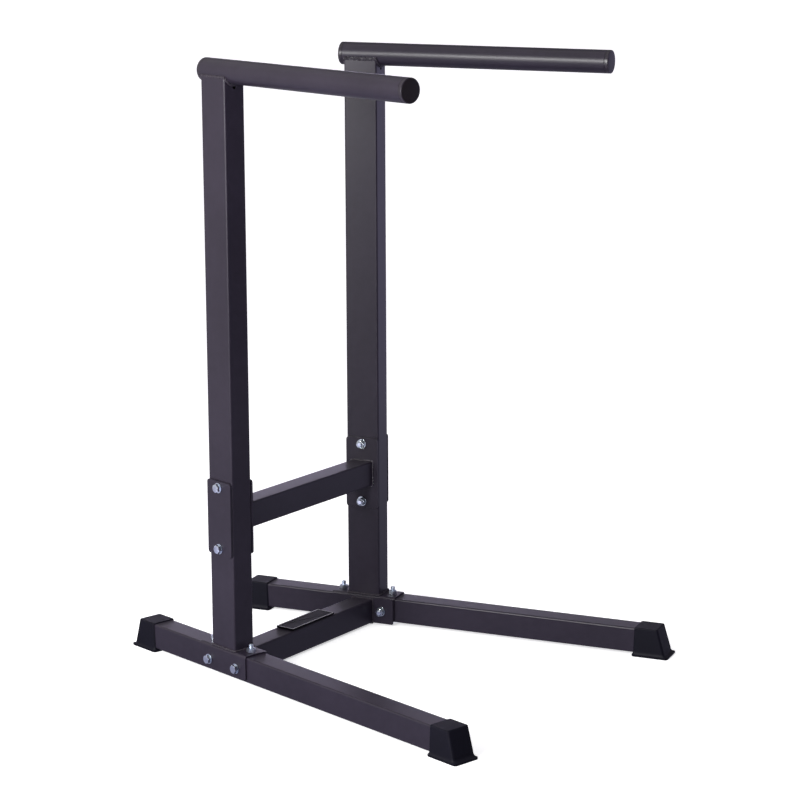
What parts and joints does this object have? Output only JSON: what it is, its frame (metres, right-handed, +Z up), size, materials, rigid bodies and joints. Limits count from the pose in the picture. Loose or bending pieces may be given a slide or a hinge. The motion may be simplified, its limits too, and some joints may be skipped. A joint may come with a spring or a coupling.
{
  "type": "dip station",
  "caption": "Free-standing dip station: two posts with round handle bars on long base rails, splayed open to the front and joined by bolted cross tubes.",
  "frame": {"origin": "on the floor, at the centre of the stand's footprint", "axes": "+Z up, the open front with the long rail ends towards -Y, +X to the right of someone in front of the stand who looks towards +Y"},
  "size_m": [0.6664, 0.8004, 1.0193],
  "materials": {
    "powder_coat": "satin charcoal powder coat with a slight purple cast",
    "foot_plastic": "matt black moulded plastic",
    "cap_plastic": "matt black moulded plastic",
    "badge": "black plate with a narrow light border, blank",
    "zinc": "bright zinc plate"
  },
  "bodies": {
    "root": {"base_rail_left": "powder_coat", "foot_cap_left_rear": "foot_plastic", "foot_cap_left_front": "foot_plastic", "saddle_bracket_left": "powder_coat", "post_left": "powder_coat", "handle_bar_left": "powder_coat", "handle_cap_left_rear": "cap_plastic", "handle_cap_left_front": "cap_plastic", "clamp_plate_left": "powder_coat", "upper_end_plate_left": "powder_coat", "lower_end_plate_left": "powder_coat", "clamp_left_lower_bolt": "zinc", "clamp_left_lower_washer": "zinc", "clamp_left_lower_nut": "zinc", "clamp_left_upper_bolt": "zinc", "clamp_left_upper_washer": "zinc", "clamp_left_upper_nut": "zinc", "side_left_front_bolt": "zinc", "side_left_front_washer": "zinc", "side_left_front_nut": "zinc", "top_left_front_bolt": "zinc", "top_left_front_nut": "zinc", "side_left_rear_bolt": "zinc", "side_left_rear_washer": "zinc", "side_left_rear_nut": "zinc", "top_left_rear_bolt": "zinc", "top_left_rear_nut": "zinc", "base_rail_right": "powder_coat", "foot_cap_right_rear": "foot_plastic", "foot_cap_right_front": "foot_plastic", "saddle_bracket_right": "powder_coat", "post_right": "powder_coat", "handle_bar_right": "powder_coat", "handle_cap_right_rear": "cap_plastic", "handle_cap_right_front": "cap_plastic", "clamp_plate_right": "powder_coat", "upper_end_plate_right": "powder_coat", "lower_end_plate_right": "powder_coat", "clamp_right_lower_bolt": "zinc", "clamp_right_lower_washer": "zinc", "clamp_right_lower_nut": "zinc", "clamp_right_upper_bolt": "zinc", "clamp_right_upper_washer": "zinc", "clamp_right_upper_nut": "zinc", "side_right_front_bolt": "zinc", "side_right_front_washer": "zinc", "side_right_front_nut": "zinc", "top_right_front_bolt": "zinc", "top_right_front_nut": "zinc", "side_right_rear_bolt": "zinc", "side_right_rear_washer": "zinc", "side_right_rear_nut": "zinc", "top_right_rear_bolt": "zinc", "top_right_rear_nut": "zinc", "upper_cross_tube": "powder_coat", "lower_cross_tube": "powder_coat", "badge_plate": "badge"}
  },
  "joints": []
}
